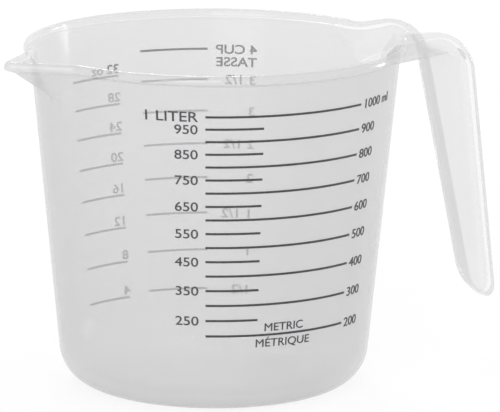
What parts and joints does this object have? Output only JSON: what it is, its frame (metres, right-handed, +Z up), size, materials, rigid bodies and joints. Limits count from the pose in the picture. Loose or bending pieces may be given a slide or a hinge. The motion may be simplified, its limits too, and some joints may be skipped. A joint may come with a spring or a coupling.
{
  "type": "measuring jug",
  "caption": "Tapered round measuring jug with a rolled lip, a V-shaped pouring spout, an open trough handle with a free lower end, and printed volume scales.",
  "frame": {"origin": "centre of the flat underside, on the bowl's axis, at table level", "axes": "+Z up along the bowl's axis, +X towards the handle, -X towards the spout, Y across"},
  "size_m": [0.1921, 0.132, 0.1195],
  "materials": {
    "jug_plastic": "translucent clarified polypropylene, softly glossy",
    "front_ink": "printed black ink",
    "back_ink": "printed black ink"
  },
  "bodies": {
    "root": {"bowl": "jug_plastic", "spout": "jug_plastic", "handle": "jug_plastic", "metric_scale": "front_ink", "cup_scale": "back_ink", "ounce_scale": "back_ink"}
  },
  "joints": []
}
